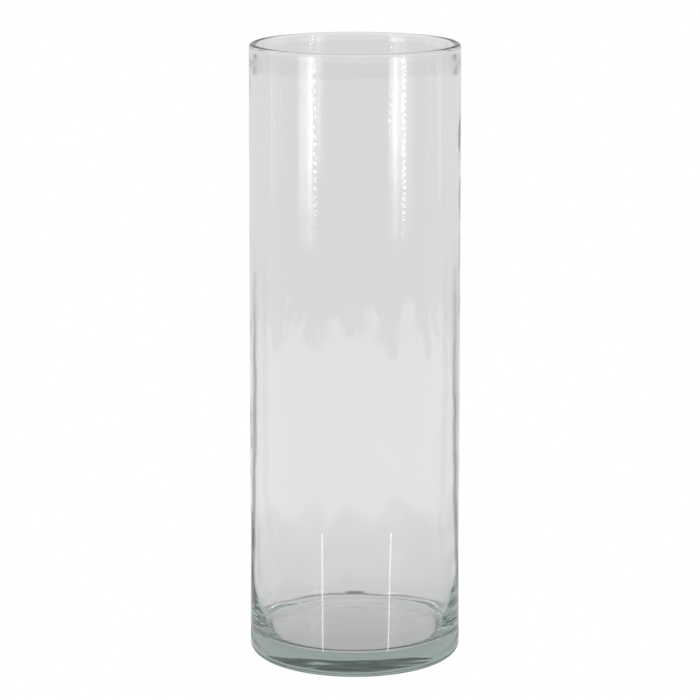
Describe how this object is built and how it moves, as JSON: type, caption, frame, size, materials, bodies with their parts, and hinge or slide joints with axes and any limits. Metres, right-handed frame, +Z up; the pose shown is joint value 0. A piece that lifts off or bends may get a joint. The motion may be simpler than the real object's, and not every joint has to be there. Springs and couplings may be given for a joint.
{
  "type": "glass cylinder vase",
  "caption": "Tall clear glass cylinder vase with nearly straight sides, a thick base, a rounded heel and a fire-polished rim.",
  "frame": {"origin": "centre of the circle that the vase stands on, in the plane of the table", "axes": "+Z up along the vase's axis, out of the mouth; the vase is round about Z, so X and Y are free"},
  "size_m": [0.103, 0.103, 0.3],
  "materials": {
    "clear_glass": "clear and glossy, with a faint green cast in the thick base"
  },
  "bodies": {
    "root": {"glass_vase": "clear_glass"}
  },
  "joints": []
}
